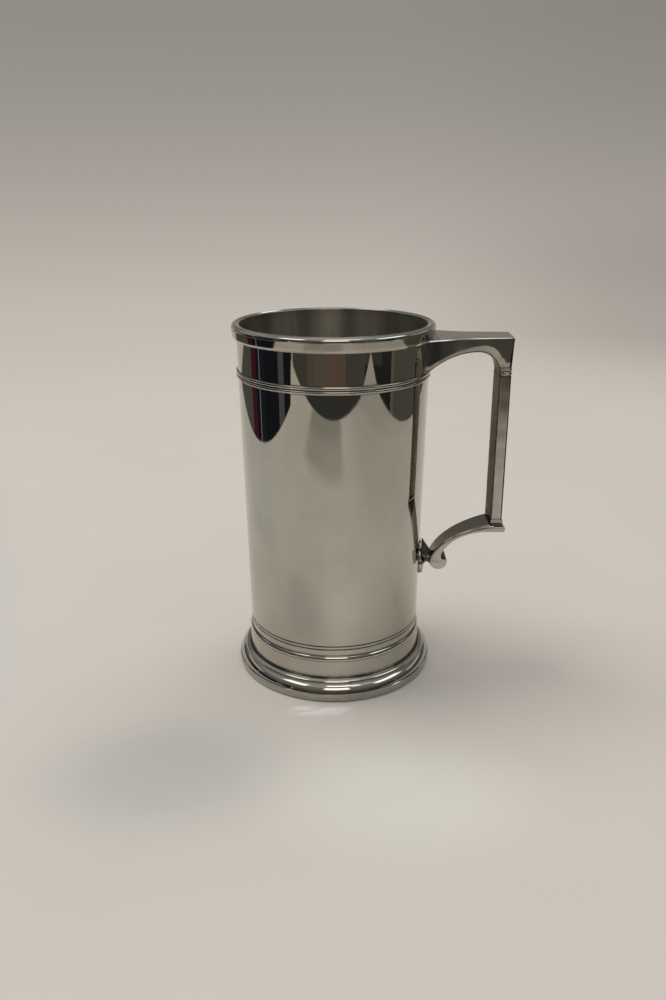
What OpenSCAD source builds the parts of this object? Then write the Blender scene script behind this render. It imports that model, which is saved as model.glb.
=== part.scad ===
// Pewter beer mug: tapered drum, mouth moulding, applied double reed,
// stepped foot and a flat-strap handle with a scrolled lower arm.
// Frame: origin on the mug's axis at table level, +Z up, +X towards the handle.
// All lengths in millimetres.

/* [Drum] */
// Outer radius of the drum where it enters the foot
drum_r_foot = 35.5; // [35.2:0.1:35.7]
// Outer radius of the drum at the mouth
drum_r_mouth = 38.0; // [37.8:0.1:38.1]
// Thickness of the drum's wall
drum_wall = 1.3; // [1.1:0.1:1.5]
// Height of the upper of the two engraved lines
line_z = 21.9; // [20:0.1:40]
// Distance between the two engraved lines
line_pitch = 1.4; // [1:0.1:3]
// Depth of an engraved line
line_d = 0.3; // [0.1:0.05:0.4]

/* [Mouth] */
// Overall height of the mug
mug_h = 145.8; // [145.6:0.1:146.2]
// Outer radius of the mouth moulding
lip_r = 39.85; // [39.7:0.05:40.3]
// Height of the middle of the double reed
reed_z = 126.45; // [124:0.05:126.5]
// Radius of one reed
reed_r = 0.6; // [0.4:0.05:0.65]
// Distance between the two reeds
reed_pitch = 1.6; // [1.3:0.1:1.7]

/* [Foot] */
// Outer radius of the ring that the mug stands on
foot_r = 41.45; // [41.2:0.05:43]
// Outer radius of the collar's rounded shoulder
collar_r = 36.55; // [36.45:0.05:36.7]
// Thickness of the floor
floor_t = 1.6; // [1:0.1:2.5]

/* [Handle] */
// Distance from the axis to the grip's inner face
grip_x = 64.77; // [63.5:0.05:66]
// Thickness of the grip, front to back
grip_t = 4.65; // [4:0.05:5.5]
// Width of the grip, side to side
grip_w = 13.8; // [12:0.1:15]
// Width of the lower arm at its scroll
scroll_w = 9; // [7:0.5:10]
// Radius of the scroll
scroll_r = 3.6; // [3.4:0.1:3.8]

/* [Hidden] */
$fn = 96;
gap = 0.05;              // solder film in a curved lap
ledge_z = 9;             // top of the ledge that the drum and the floor stand on
rim_z = 145;             // top edge of the drum, under the lip
band_z = 140.2;          // lower edge of the mouth moulding, top of the bracket
foot_z = 3.5;            // joint between the foot moulding and its standing ring
collar_z = 15.7;         // joint between the foot moulding and the collar
grip_z0 = 65;            // lower end of the grip
grip_z1 = 125;           // upper end of the grip
tip_z = 128.3;           // lowest edge of the bracket's root, clear of the reeds
apex_x = 55.77;          // highest point of the bracket's arch
apex_z = 134.8;
arch_r = 34;             // radius of the arch towards the drum
lean = 0.4;              // how far the bracket's outer face leans out at its top
neck_z = 45.1;           // height of the neck between the scroll and the drum
scroll_x = 44.05;        // centre of the scroll
scroll_z = 45.4;
pewter = [0.60, 0.59, 0.56];
pewter_dark = [0.47, 0.46, 0.44];

// outer radius of the drum at height z
function ro(z) = drum_r_foot + (drum_r_mouth - drum_r_foot) * (z - ledge_z) / (rim_z - ledge_z);
// point at parameter t on a cubic curve with four control points
function bez(p, t) = p[0] * pow(1 - t, 3) + p[1] * 3 * t * pow(1 - t, 2)
                   + p[2] * 3 * t * t * (1 - t) + p[3] * pow(t, 3);
function curve(p, n) = [for (i = [0:n]) bez(p, i / n)];
// half width of the bracket in plan at distance x from the axis
function bracket_hw(x) = grip_w / 2 + 0.08 * (grip_x + grip_t - x)
                       + 0.0125 * pow(max(0, 56 - x), 2);
// n + 1 points on an arc about c, from angle a0 to a1
function arc(c, rx, rz, a0, a1, n) = [for (i = [0:n]) let (a = a0 + (a1 - a0) * i / n)
                                      [c[0] + rx * cos(a), c[1] + rz * sin(a)]];

// solid cone that follows the drum's outer face, grown by g
module drum_cone(z0, z1, g) {
    translate([0, 0, z0]) cylinder(h = z1 - z0, r1 = ro(z0) + g, r2 = ro(z1) + g);
}

// side outline (x, z) given a width along y
module side(pts, w) {
    rotate([90, 0, 0]) linear_extrude(height = w, center = true) polygon(pts);
}

module body_shell() {
    z2 = line_z - line_pitch;
    s0 = reed_z - 1.6;
    s1 = reed_z + 1.55;
    color(pewter) rotate_extrude() polygon([
        [ro(ledge_z) - drum_wall, ledge_z], [ro(ledge_z), ledge_z],
        [ro(z2 - line_d), z2 - line_d], [ro(z2) - line_d, z2], [ro(z2 + line_d), z2 + line_d],
        [ro(line_z - line_d), line_z - line_d], [ro(line_z) - line_d, line_z], [ro(line_z + line_d), line_z + line_d],
        [ro(s0), s0], [ro(s0) - 0.35, s0], [ro(s1) - 0.35, s1], [ro(s1), s1],
        [ro(rim_z), rim_z], [ro(rim_z) - drum_wall, rim_z]]);
}

module lip_band() {
    ri = ro(rim_z) - drum_wall - 0.05;
    roll = 1.6;
    zc = mug_h - roll;
    // leaning band, quirk, rolled lip, top that slopes inwards
    color(pewter) rotate_extrude() polygon(concat(
        [[ro(band_z) + gap, band_z], [lip_r - 0.85, band_z], [lip_r - 0.41, band_z + 0.65],
         [lip_r - 0.02, zc - 0.52], [lip_r - 0.14, zc - 0.35]],
        arc([lip_r - 1.55, zc], 1.55, roll, -9, 104, 12),
        [[ri + 0.5, mug_h - 0.28], [ri + 0.1, mug_h - 0.45],
         [ri, rim_z + 0.1], [ri, rim_z], [ro(rim_z) + gap, rim_z]]));
}

module reeded_band() {
    s0 = reed_z - 1.6;
    s1 = reed_z + 1.55;
    color(pewter) rotate_extrude() union() {
        polygon([[ro(s0) - 0.35 + gap, s0], [ro(s0) + 0.1, s0], [ro(s1) + 0.1, s1], [ro(s1) - 0.35 + gap, s1]]);
        // the reeds stop at the band's inner face, clear of the seat
        intersection() {
            for (k = [-1, 1]) translate([ro(reed_z) + 0.05, reed_z + k * reed_pitch / 2]) circle(r = reed_r);
            polygon([[ro(s0) - 0.35 + gap, s0], [ro(s0) + 2, s0], [ro(s1) + 2, s1], [ro(s1) - 0.35 + gap, s1]]);
        }
    }
}

module floor_disc() {
    color(pewter_dark) translate([0, 0, ledge_z])
        cylinder(h = floor_t, r = ro(ledge_z) - drum_wall - gap);
}

module foot_collar() {
    rb = 2.36;
    color(pewter) rotate_extrude() difference() {
        polygon(concat([[34, collar_z], [collar_r - 0.2, collar_z]],
                       arc([collar_r - rb, collar_z + 0.16], rb, rb, -2, 44, 8),
                       [[34, collar_z + 1.95]]));
        polygon([[30, collar_z - 1], [ro(collar_z - 1) + gap, collar_z - 1],
                 [ro(collar_z + 4) + gap, collar_z + 4], [30, collar_z + 4]]);
    }
}

module foot_moulding() {
    color(pewter) rotate_extrude() polygon(concat(
        // ledge and lap round the drum, then the upright band
        [[31.5, ledge_z], [ro(ledge_z) + gap, ledge_z], [ro(collar_z) + gap, collar_z],
         [36.35, collar_z], [36.45, collar_z - 0.15], [36.63, 8.27]],
        // bead and ovolo
        arc([37.3, 6.8], 1.62, 1.62, 112, 6, 9),
        arc([36.5, 1.95], 4.83, 5.7, 60, 19, 9),
        // seat of the standing ring and the hollow underneath
        [[40.9, foot_z], [39.1, foot_z], [38.9, 5.2], [37.6, 6.6], [35.6, 7.8], [31.5, 7.8]]));
}

module foot_rim() {
    color(pewter) rotate_extrude() polygon([
        [38.2, 0], [foot_r - 0.45, 0], [foot_r - 0.1, 0.35], [foot_r, 0.9], [foot_r, 2.6],
        [foot_r - 0.12, 3.15], [foot_r - 0.45, foot_z],
        [38.8, foot_z], [38.8, 4.8], [38.0, 4.8], [38.0, 0.3]]);
}

// outline of the bracket from the side, from its root to the lower end at the grip
function bracket_side() = let (
        xe = grip_x + grip_t + 0.1,
        rc = 6,
        a0 = acos((tip_z - (apex_z - arch_r)) / arch_r))
    concat(
        [[28, band_z], [xe + lean - 0.4, band_z], [xe + lean, band_z - 0.45],
         [xe, 128.5], [xe, grip_z1], [grip_x, grip_z1]],
        [for (i = [0:8]) let (a = 90 * i / 8)
            [grip_x - rc + rc * cos(a), apex_z - rc + rc * sin(a)]],
        [for (i = [0:12]) let (a = a0 * i / 12)
            [apex_x - arch_r * sin(a), apex_z - arch_r + arch_r * cos(a)]],
        [[28, tip_z]]);

module bracket_bead(z) {
    xe = grip_x + grip_t + 0.1;
    hw = bracket_hw(grip_x + grip_t);
    for (k = [-1, 1]) {
        translate([grip_x + 0.5, k * hw, z]) rotate([0, 90, 0]) cylinder(h = xe - grip_x - 0.5, r = 0.55, $fn = 32);
        translate([xe, k * hw, z]) sphere(r = 0.55, $fn = 32);
    }
    translate([xe, -hw, z]) rotate([-90, 0, 0]) cylinder(h = 2 * hw, r = 0.55, $fn = 32);
}

module handle_bracket() {
    xe = grip_x + grip_t + 0.1;
    xs = [for (i = [0:16]) 28 + (xe + 1 - 28) * i / 16];
    color(pewter_dark) difference() {
        union() {
            intersection() {
                side(bracket_side(), 60);
                translate([0, 0, 120]) linear_extrude(height = 30)
                    polygon(concat([for (x = xs) [x, -bracket_hw(x)]],
                                   [for (i = [16:-1:0]) [xs[i], bracket_hw(xs[i])]]));
            }
            bracket_bead(127.55);
            bracket_bead(125.95);
        }
        drum_cone(110, 150, gap);
        translate([grip_x + grip_t / 2, 0, grip_z1 + 2.5]) cube([2.5, 8.1, 5.1], center = true);
    }
}

module handle_grip() {
    c = 0.6;
    hw = grip_w / 2;
    x1 = grip_x + grip_t;
    color(pewter_dark) union() {
        translate([0, 0, grip_z0]) linear_extrude(height = grip_z1 - grip_z0)
            polygon([[grip_x + c, -hw], [x1 - c, -hw], [x1, -hw + c], [x1, hw - c],
                     [x1 - c, hw], [grip_x + c, hw], [grip_x, hw - c], [grip_x, -hw + c]]);
        translate([grip_x + grip_t / 2, 0, (grip_z0 + grip_z1) / 2])
            cube([2.4, 8, grip_z1 - grip_z0 + 9], center = true);
    }
}

module handle_scroll_arm() {
    hw = grip_w / 2 + 0.1;
    x1 = grip_x + grip_t;
    lower = curve([[grip_x - 0.8, 59.85], [56, 59.4], [48.5, 55.5], [45.6, 49.3]], 14);
    upper = curve([[40.72, 46.9], [44.3, 56.4], [56.5, 60.9], [grip_x, 62.6]], 14);
    color(pewter_dark) difference() {
        intersection() {
            union() {
                side(concat(
                    [[grip_x, grip_z0], [x1, grip_z0], [x1 + 0.1, 64.4], [x1 + 0.5, 63.2], [x1 + 1.45, 62.1],
                     [x1 + 1.5, 60], [x1 + 1.2, 59.75]], lower,
                    [[45.0, 47.9], [44.4, 46.4], [43, 45.6]], upper), 30);
                translate([scroll_x, 0, scroll_z]) rotate([90, 0, 0]) cylinder(h = 30, r = scroll_r, center = true);
            }
            translate([0, 0, 30]) linear_extrude(height = 50)
                polygon([[38, -scroll_w / 2 + 0.4], [43, -scroll_w / 2], [grip_x, -hw], [75, -hw],
                         [75, hw], [grip_x, hw], [43, scroll_w / 2], [38, scroll_w / 2 - 0.4]]);
        }
        // notch of the curl
        side([[46.05, 50], [45.2, 47.7], [45.5, 46.6], [46.75, 45.8], [48.2, 46.5]], 30);
        // mortise for the grip
        translate([grip_x + grip_t / 2, 0, grip_z0 - 2.3]) cube([2.5, 8.1, 4.7], center = true);
        // socket for the neck's spigot
        translate([38, 0, neck_z]) rotate([0, 90, 0]) cylinder(h = 5.5, r = 1.05);
    }
}

module scroll_neck() {
    color(pewter_dark) union() {
        difference() {
            union() {
                translate([38.45, 0, neck_z]) rotate([0, 90, 0]) rotate_extrude()
                    polygon([[0, 0], [2.3, 0], [2.3, 0.35], [1.75, 0.75], [1.6, 1.15], [1.75, 1.55], [2.35, 2.0], [2.35, 3.4], [0, 3.4]]);
                side([[38.5, 46.2], [38.5, 52.6], [40.65, 49.0], [40.7, 46.2]], 1.6);
            }
            translate([scroll_x, 0, scroll_z]) rotate([90, 0, 0]) cylinder(h = 30, r = scroll_r + gap, center = true);
        }
        translate([36.9, 0, neck_z]) rotate([0, 90, 0]) cylinder(h = 6, r = 1);
    }
}

// outline of the escutcheon (y, z): round below, pointed above
function leaf() = concat(
    [for (i = [0:16]) let (a = -210 + 240 * i / 16) [4.35 * cos(a), 43 + 4.35 * sin(a)]],
    [[2.8, 46.9], [1.7, 48.2], [1.2, 49.8], [1, 52], [0, 54.4],
     [-1, 52], [-1.2, 49.8], [-1.7, 48.2], [-2.8, 46.9]]);

module lower_escutcheon() {
    color(pewter_dark) difference() {
        intersection() {
            translate([30, 0, 0]) rotate([90, 0, 90]) linear_extrude(height = 15) polygon(leaf());
            rotate_extrude() polygon([
                [30, 36], [37.7, 36], [37.75, 38.2], [38.1, 40], [38.4, 42], [38.4, 47.6], [38.25, 49.6], [38.0, 52], [37.9, 56], [30, 56]]);
        }
        drum_cone(30, 60, gap);
        translate([30, 0, neck_z]) rotate([0, 90, 0]) cylinder(h = 12, r = 1.05);
    }
}

body_shell();
lip_band();
reeded_band();
floor_disc();
foot_collar();
foot_moulding();
foot_rim();
handle_bracket();
handle_grip();
handle_scroll_arm();
scroll_neck();
lower_escutcheon();
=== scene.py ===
"""Looks of the pewter mug: a tapered polished drum with a moulded mouth, an applied
double reed, a stepped foot and a flat strap handle that ends in a scroll.

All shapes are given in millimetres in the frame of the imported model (axis = Z,
handle towards +X, table at Z = 0) and are scaled to metres when a mesh is made.
"""
import math

import bmesh
import bpy
import numpy as np
from mathutils import Matrix, Vector
from mathutils.geometry import tessellate_polygon


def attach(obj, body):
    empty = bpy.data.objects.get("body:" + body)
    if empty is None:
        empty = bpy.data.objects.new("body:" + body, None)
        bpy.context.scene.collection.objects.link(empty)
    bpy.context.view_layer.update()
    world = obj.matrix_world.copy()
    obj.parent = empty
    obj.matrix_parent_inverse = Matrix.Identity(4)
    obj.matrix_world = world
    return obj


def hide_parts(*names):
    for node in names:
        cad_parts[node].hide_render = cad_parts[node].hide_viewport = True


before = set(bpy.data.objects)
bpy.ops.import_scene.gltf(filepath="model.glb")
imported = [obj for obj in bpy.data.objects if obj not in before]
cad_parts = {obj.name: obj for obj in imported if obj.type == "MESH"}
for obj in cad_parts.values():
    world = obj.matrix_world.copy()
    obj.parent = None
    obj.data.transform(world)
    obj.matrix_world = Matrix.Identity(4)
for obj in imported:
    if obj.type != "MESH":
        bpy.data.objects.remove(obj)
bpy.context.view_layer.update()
scene = bpy.context.scene
MM = 0.001


# ------------------------------------------------------------------ node helpers

class Graph:
    """Short calls for building a node tree."""

    def __init__(self, tree):
        self.tree = tree
        tree.nodes.clear()

    def node(self, kind, out=0, props=None, **inputs):
        n = self.tree.nodes.new(kind)
        for k, v in (props or {}).items():
            setattr(n, k, v)
        for k, v in inputs.items():
            self.put(n.inputs[k.replace("_", " ")], v)
        return n.outputs[out] if out is not None else n

    def put(self, socket, value):
        if isinstance(value, bpy.types.NodeSocket):
            self.tree.links.new(value, socket)
        elif socket.type == "RGBA" and len(value) == 3:
            socket.default_value = (*value, 1.0)
        else:
            socket.default_value = value

    def math(self, op, a, b=None, c=None, clamp=False):
        n = self.tree.nodes.new("ShaderNodeMath")
        n.operation, n.use_clamp = op, clamp
        for i, v in enumerate((a, b, c)):
            if v is not None:
                self.put(n.inputs[i], v)
        return n.outputs[0]

    def add(self, a, b):
        return self.math("ADD", a, b)

    def mul(self, a, b):
        return self.math("MULTIPLY", a, b)

    def step(self, x, lo, hi, out_lo=0.0, out_hi=1.0):
        """Smooth change from out_lo at lo to out_hi at hi."""
        n = self.tree.nodes.new("ShaderNodeMapRange")
        n.interpolation_type = "SMOOTHSTEP"
        for i, v in enumerate((x, lo, hi, out_lo, out_hi)):
            self.put(n.inputs[i], v)
        return n.outputs[0]

    def mix(self, fac, a, b, blend="MIX"):
        n = self.tree.nodes.new("ShaderNodeMix")
        n.data_type, n.blend_type, n.clamp_factor = "RGBA", blend, True
        self.put(n.inputs[0], fac)
        self.put(n.inputs[6], a)
        self.put(n.inputs[7], b)
        return n.outputs[2]

    def ramp(self, fac, stops, mode="LINEAR"):
        n = self.tree.nodes.new("ShaderNodeValToRGB")
        n.color_ramp.interpolation = mode
        e = n.color_ramp.elements
        while len(e) < len(stops):
            e.new(0.5)
        for el, (pos, col) in zip(e, sorted(stops, key=lambda s: s[0])):
            el.position, el.color = pos, (*col, 1.0)
        self.put(n.inputs[0], fac)
        return n.outputs[0]

    def noise(self, vector, scale, detail=4.0, rough=0.55, dims="3D"):
        n = self.tree.nodes.new("ShaderNodeTexNoise")
        n.noise_dimensions = dims
        self.put(n.inputs["W" if dims == "1D" else "Vector"], vector)
        self.put(n.inputs["Scale"], scale)
        self.put(n.inputs["Detail"], detail)
        self.put(n.inputs["Roughness"], rough)
        return n.outputs["Fac"]

    def stretch(self, vector, scale, turn=(0, 0, 0)):
        n = self.tree.nodes.new("ShaderNodeMapping")
        self.put(n.inputs["Vector"], vector)
        n.inputs["Scale"].default_value = scale
        n.inputs["Rotation"].default_value = turn
        return n.outputs[0]

    def bump(self, height, distance, normal=None, strength=1.0):
        n = self.tree.nodes.new("ShaderNodeBump")
        n.inputs["Strength"].default_value = strength
        n.inputs["Distance"].default_value = distance
        self.put(n.inputs["Height"], height)
        if normal is not None:
            self.put(n.inputs["Normal"], normal)
        return n.outputs[0]


# --------------------------------------------------------------------- materials

TINT = (0.520, 0.500, 0.440)       # polished pewter
SHADE = (0.440, 0.418, 0.362)      # the same metal under a thin tarnish
PATINA_AND_SHADE = (0.075, 0.067, 0.054)     # dirt and tarnish left in grooves, also used as painted shade


def pewter(name, tint, shade, rough, smudge=0.05, rings=0.0, ring_size=900.0, brush=None,
           brush_depth=0.0, cast=0.0, wear=0.5, blotch=55.0, turned=0.0,
           rim_tint=None, streak=0.0):
    """Pewter whose polish, tarnish, tool marks, dirt, painted shade and painted highlights all come from nodes.

    rings: depth in metres of turning marks around the Z axis. brush: stretch of the
    polishing scratches. cast: depth of the soft unevenness that a casting keeps.
    turned: how far fine lathe lines stretch reflections up and down. rim_tint: colour that
    a face dulled by tarnish keeps when it is seen edge-on. streak: strength of upright stains."""
    mat = bpy.data.materials.new(name)
    mat.use_nodes = True
    g = Graph(mat.node_tree)
    where = g.node("ShaderNodeTexCoord", out=3)
    z = g.node("ShaderNodeSeparateXYZ", out=2, Vector=where)
    patina_and_shade = g.node("ShaderNodeAttribute", out=2, props={"attribute_name": "patina_and_shade"})
    edge = g.node("ShaderNodeAttribute", out=2, props={"attribute_name": "edge"})

    cloud = g.step(g.noise(where, blotch, 5.0, 0.6), 0.38, 0.68)
    speck = g.step(g.noise(where, 900.0, 3.0, 0.6), 0.60, 0.78)
    grime_and_shade = g.math("MINIMUM", g.mul(patina_and_shade, g.step(g.noise(where, 320.0, 4.0, 0.6), 0.15, 0.65, 0.55, 1.25)), 1.0)

    colour = g.mix(g.mul(cloud, wear), tint, shade)
    colour = g.mix(g.mul(speck, 0.12 * wear), colour, PATINA_AND_SHADE)
    if streak:
        stain = g.step(g.noise(g.stretch(where, (150, 150, 4)), 1.0, 3.0, 0.6), 0.36, 0.66)
        colour = g.mix(g.mul(stain, streak), colour, PATINA_AND_SHADE)
    # dirt in grooves and painted shade: the colour darkens where the per-vertex values painted further down are high
    colour = g.mix(g.mul(grime_and_shade, 0.95), colour, PATINA_AND_SHADE)
    # painted highlight: the colour lightens along the arrises painted further down
    colour = g.mix(g.mul(edge, 0.5), colour, tuple(min(1.0, c * 1.18) for c in tint))

    r = g.add(rough, g.mul(cloud, smudge))
    r = g.add(r, g.mul(g.mul(grime_and_shade, grime_and_shade), 0.30))
    normal = None
    if rings:
        lines = g.noise(z, ring_size, 4.0, 0.62, "1D")
        normal = g.bump(lines, rings)
        r = g.add(r, g.mul(g.step(g.noise(z, 330.0, 3.0, 0.6, "1D"), 0.45, 0.75), 0.5 * smudge))
    if brush:
        hair = g.noise(g.stretch(where, brush), 1.0, 3.0, 0.65)
        normal = g.bump(hair, brush_depth, normal)
        r = g.add(r, g.mul(g.step(hair, 0.45, 0.75), 0.6 * smudge))
    if cast:
        normal = g.bump(g.noise(where, 240.0, 2.0, 0.5), cast, normal)

    p = g.node("ShaderNodeBsdfPrincipled", out=None)
    p.inputs["Metallic"].default_value = 1.0
    g.put(p.inputs["Base Color"], colour)
    g.put(p.inputs["Roughness"], r)
    if normal is not None:
        g.put(p.inputs["Normal"], normal)
    if turned:
        p.inputs["Anisotropic"].default_value = turned
        p.inputs["Anisotropic Rotation"].default_value = 0.25
        g.put(p.inputs["Tangent"], g.node("ShaderNodeTangent", props={"direction_type": "RADIAL", "axis": "Z"}))
    if rim_tint:
        p.inputs["Specular Tint"].default_value = (*rim_tint, 1.0)
    out = g.node("ShaderNodeOutputMaterial", out=None)
    g.put(out.inputs["Surface"], p.outputs[0])
    return mat


polished = pewter("pewter_polished", TINT, SHADE, 0.012, smudge=0.022, rings=0.8e-6,
                  brush=(60, 60, 2600), brush_depth=1.2e-7, wear=0.40)
satin = pewter("pewter_satin", (0.325, 0.293, 0.228), (0.272, 0.245, 0.189), 0.42, smudge=0.08, rings=1.5e-6,
               ring_size=700.0, wear=0.7, blotch=38.0, turned=0.95, streak=0.26)
buffed = pewter("pewter_buffed", (0.500, 0.478, 0.420), SHADE, 0.12, smudge=0.10,
                brush=(500, 900, 45), brush_depth=1.6e-6, cast=4.0e-6, wear=0.7, blotch=90.0, rim_tint=(0.27, 0.255, 0.225))
dressed = pewter("pewter_scroll", (0.500, 0.478, 0.420), SHADE, 0.042, smudge=0.05,
                 brush=(120, 900, 120), brush_depth=0.3e-6, cast=2.0e-6, wear=0.6, blotch=90.0, rim_tint=(0.34, 0.32, 0.285))
bright = pewter("pewter_bracket", (0.500, 0.478, 0.420), SHADE, 0.105, smudge=0.07,
                brush=(45, 700, 700), brush_depth=0.7e-6, cast=3.0e-6, wear=0.6, blotch=80.0)
# near-black pewter used as painted shade on the outer chamfers of the leg, the grip's outer arrises and the fin's faces
painted_shade_pewter = pewter("pewter_painted_shade", (0.060, 0.055, 0.046), (0.040, 0.036, 0.030), 0.16, smudge=0.08, cast=6.0e-6, blotch=120.0)
cast = pewter("pewter_small_castings", (0.515, 0.494, 0.436), SHADE, 0.050, smudge=0.06, cast=6.0e-6, wear=0.7, blotch=120.0)


# ------------------------------------------------------------------- mesh helpers

def piece(name, verts, faces, mats, slot, nodes, pick=None, crease=40.0):
    """Makes one closed mesh of the object from millimetre points and lets it stand for CAD nodes."""
    me = bpy.data.meshes.new(name)
    me.from_pydata([(v[0] * MM, v[1] * MM, v[2] * MM) for v in verts], [], faces)
    bm = bmesh.new()
    bm.from_mesh(me)
    bmesh.ops.remove_doubles(bm, verts=bm.verts, dist=2e-8)
    bmesh.ops.recalc_face_normals(bm, faces=bm.faces)
    bm.to_mesh(me)
    bm.free()
    me.update()
    for m in mats:
        me.materials.append(m)
    for p in me.polygons:
        p.use_smooth = True
        if pick:
            p.material_index = pick(p.center / MM, p.normal)
    me.set_sharp_from_angle(angle=math.radians(crease))
    ob = bpy.data.objects.new(name, me)
    scene.collection.objects.link(ob)
    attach(ob, "root")
    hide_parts(*nodes)
    return ob


def paint(ob, layer, rule):
    """Writes one value per vertex, worked out from its place in millimetres."""
    co = np.empty(len(ob.data.vertices) * 3, np.float32)
    ob.data.vertices.foreach_get("co", co)
    co = co.reshape(-1, 3) / MM
    a = ob.data.attributes.new(layer, "FLOAT", "POINT")
    a.data.foreach_set("value", np.clip(rule(co[:, 0], co[:, 1], co[:, 2]), 0, 1).astype(np.float32))


def bez(p, n):
    p = np.array(p, float)
    t = np.linspace(0, 1, n + 1)[:, None]
    return [tuple(q) for q in p[0] * (1 - t) ** 3 + 3 * p[1] * t * (1 - t) ** 2 + 3 * p[2] * t * t * (1 - t) + p[3] * t ** 3]


def arc(cx, cy, rx, ry, a0, a1, n):
    return [(cx + rx * math.cos(math.radians(a0 + (a1 - a0) * i / n)),
             cy + ry * math.sin(math.radians(a0 + (a1 - a0) * i / n))) for i in range(n + 1)]


def rounded(points, n=6):
    """Closed outline with its corners rounded: each point is (u, v) or (u, v, radius)."""
    out, count = [], len(points)
    for i, p in enumerate(points):
        rad = p[2] if len(p) > 2 else 0.0
        here = Vector(p[:2])
        if rad <= 0:
            out.append(tuple(here))
            continue
        a = (Vector(points[i - 1][:2]) - here)
        b = (Vector(points[(i + 1) % count][:2]) - here)
        half = a.angle(b) / 2
        reach = min(rad / math.tan(half), 0.48 * a.length, 0.48 * b.length)
        r = reach * math.tan(half)
        a.normalize(), b.normalize()
        centre = here + (a + b).normalized() * (r / math.sin(half))
        s, e = here + a * reach - centre, here + b * reach - centre
        turn = s.angle_signed(e)
        for k in range(n + 1):
            t = -turn * k / n
            out.append((centre.x + s.x * math.cos(t) - s.y * math.sin(t),
                        centre.y + s.x * math.sin(t) + s.y * math.cos(t)))
    return out


def guarded(outline, longest=2.5, guard=0.06):
    """Adds points beside the ends of long straight runs, so that smooth shading stays flat there."""
    out, count = [], len(outline)
    for i in range(count):
        a, b = Vector(outline[i]), Vector(outline[(i + 1) % count])
        d = (b - a).length
        out.append(tuple(a))
        if d > 4 * guard:
            steps = max(1, math.ceil(d / longest))
            for t in [guard / d] + [k / steps for k in range(1, steps)] + [1 - guard / d]:
                out.append(tuple(a.lerp(b, t)))
    return out


def lathe(outline, segs=288):
    """Turns a closed (r, z) outline about the Z axis."""
    count = len(outline)
    verts = [(r * math.cos(2 * math.pi * s / segs), r * math.sin(2 * math.pi * s / segs), z)
             for s in range(segs) for r, z in outline]
    faces = []
    for s in range(segs):
        t = (s + 1) % segs
        for j in range(count):
            k = (j + 1) % count
            ids = [s * count + j, t * count + j, t * count + k, s * count + k]
            if outline[j][0] < 1e-9 and outline[k][0] < 1e-9:
                continue
            if outline[j][0] < 1e-9:
                ids = [j, ids[2], ids[3]]
            elif outline[k][0] < 1e-9:
                ids = [ids[0], ids[1], k]
            faces.append(ids)
    return verts, faces


def loft(loops, cap0=True, cap1=True):
    """Closed skin through loops of equal length, with flat ends."""
    n = len(loops[0])
    assert all(len(l) == n for l in loops), "loops differ in length"
    verts = [p for l in loops for p in l]
    faces = []
    for i in range(len(loops) - 1):
        for j in range(n):
            k = (j + 1) % n
            faces.append((i * n + j, i * n + k, (i + 1) * n + k, (i + 1) * n + j))
    if cap0:
        faces.append(tuple(range(n - 1, -1, -1)))
    if cap1:
        faces.append(tuple((len(loops) - 1) * n + j for j in range(n)))
    return verts, faces


def inset(outline, depth):
    """Closed counter-clockwise outline moved inwards along its mitred normals, by one depth for each point."""
    out, n = [], len(outline)
    for i in range(n):
        p = Vector(outline[i])
        a = (p - Vector(outline[i - 1])).normalized()
        b = (Vector(outline[(i + 1) % n]) - p).normalized()
        m = Vector((-(a.y + b.y), a.x + b.x))
        m = m.normalized() if m.length > 1e-6 else Vector((-a.y, a.x))
        k = max(0.55, m.dot(Vector((-a.y, a.x))))
        out.append(tuple(p + m * (depth[i] / k)))
    return out


def slab(outline, width, radius, steps=5, across=6, lines=1):
    """Solid with a side outline (x, z), a half width that follows x, and arrises rounded by one radius for each point."""
    area = sum(outline[i - 1][0] * outline[i][1] - outline[i][0] * outline[i - 1][1] for i in range(len(outline)))
    if area < 0:
        outline, radius = outline[::-1], radius[::-1]
    n = len(outline)
    rings = [(1 - math.cos(math.pi / 2 * k / steps), math.sin(math.pi / 2 * k / steps) - 1, 0.0) for k in range(steps + 1)]
    rings += [(1.0, 0.0, 0.05), (1.0, 0.0, 0.18), (1.0, 0.0, 0.34)][:lines]

    def at(d, dy, extra, sign):
        pts = inset(outline, [r * d + extra for r in radius])
        return [(q[0], sign * (width(q[0]) + dy * r), q[1]) for q, r in zip(pts, radius)]

    left = [at(*ring, -1) for ring in reversed(rings)]
    right = [at(*ring, 1) for ring in rings]
    mid = [[(o[0], (2 * k / across - 1) * (width(o[0]) - r), o[1]) for o, r in zip(outline, radius)] for k in range(1, across)]
    loops = left + mid + right
    verts, faces = loft(loops, False, False)
    flat = [Vector((p[0], p[2], 0)) for p in loops[0]]
    base = (len(loops) - 1) * n
    for tri in tessellate_polygon([flat]):
        faces.append(tuple(tri))
        faces.append(tuple(base + i for i in reversed(tri)))
    return verts, faces


def merged(*shells):
    verts, faces = [], []
    for v, f in shells:
        faces += [tuple(i + len(verts) for i in t) for t in f]
        verts += list(v)
    return verts, faces


def near(value, centre, spread):
    return np.exp(-((value - centre) / spread) ** 2)


# ------------------------------------------------------------------ lathed pieces

def ro(z):
    """Outer radius of the drum."""
    return 35.5 + 2.5 * (z - 9.0) / 136.0


LINES = (20.5, 21.9)
REED_Z = 126.45

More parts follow.
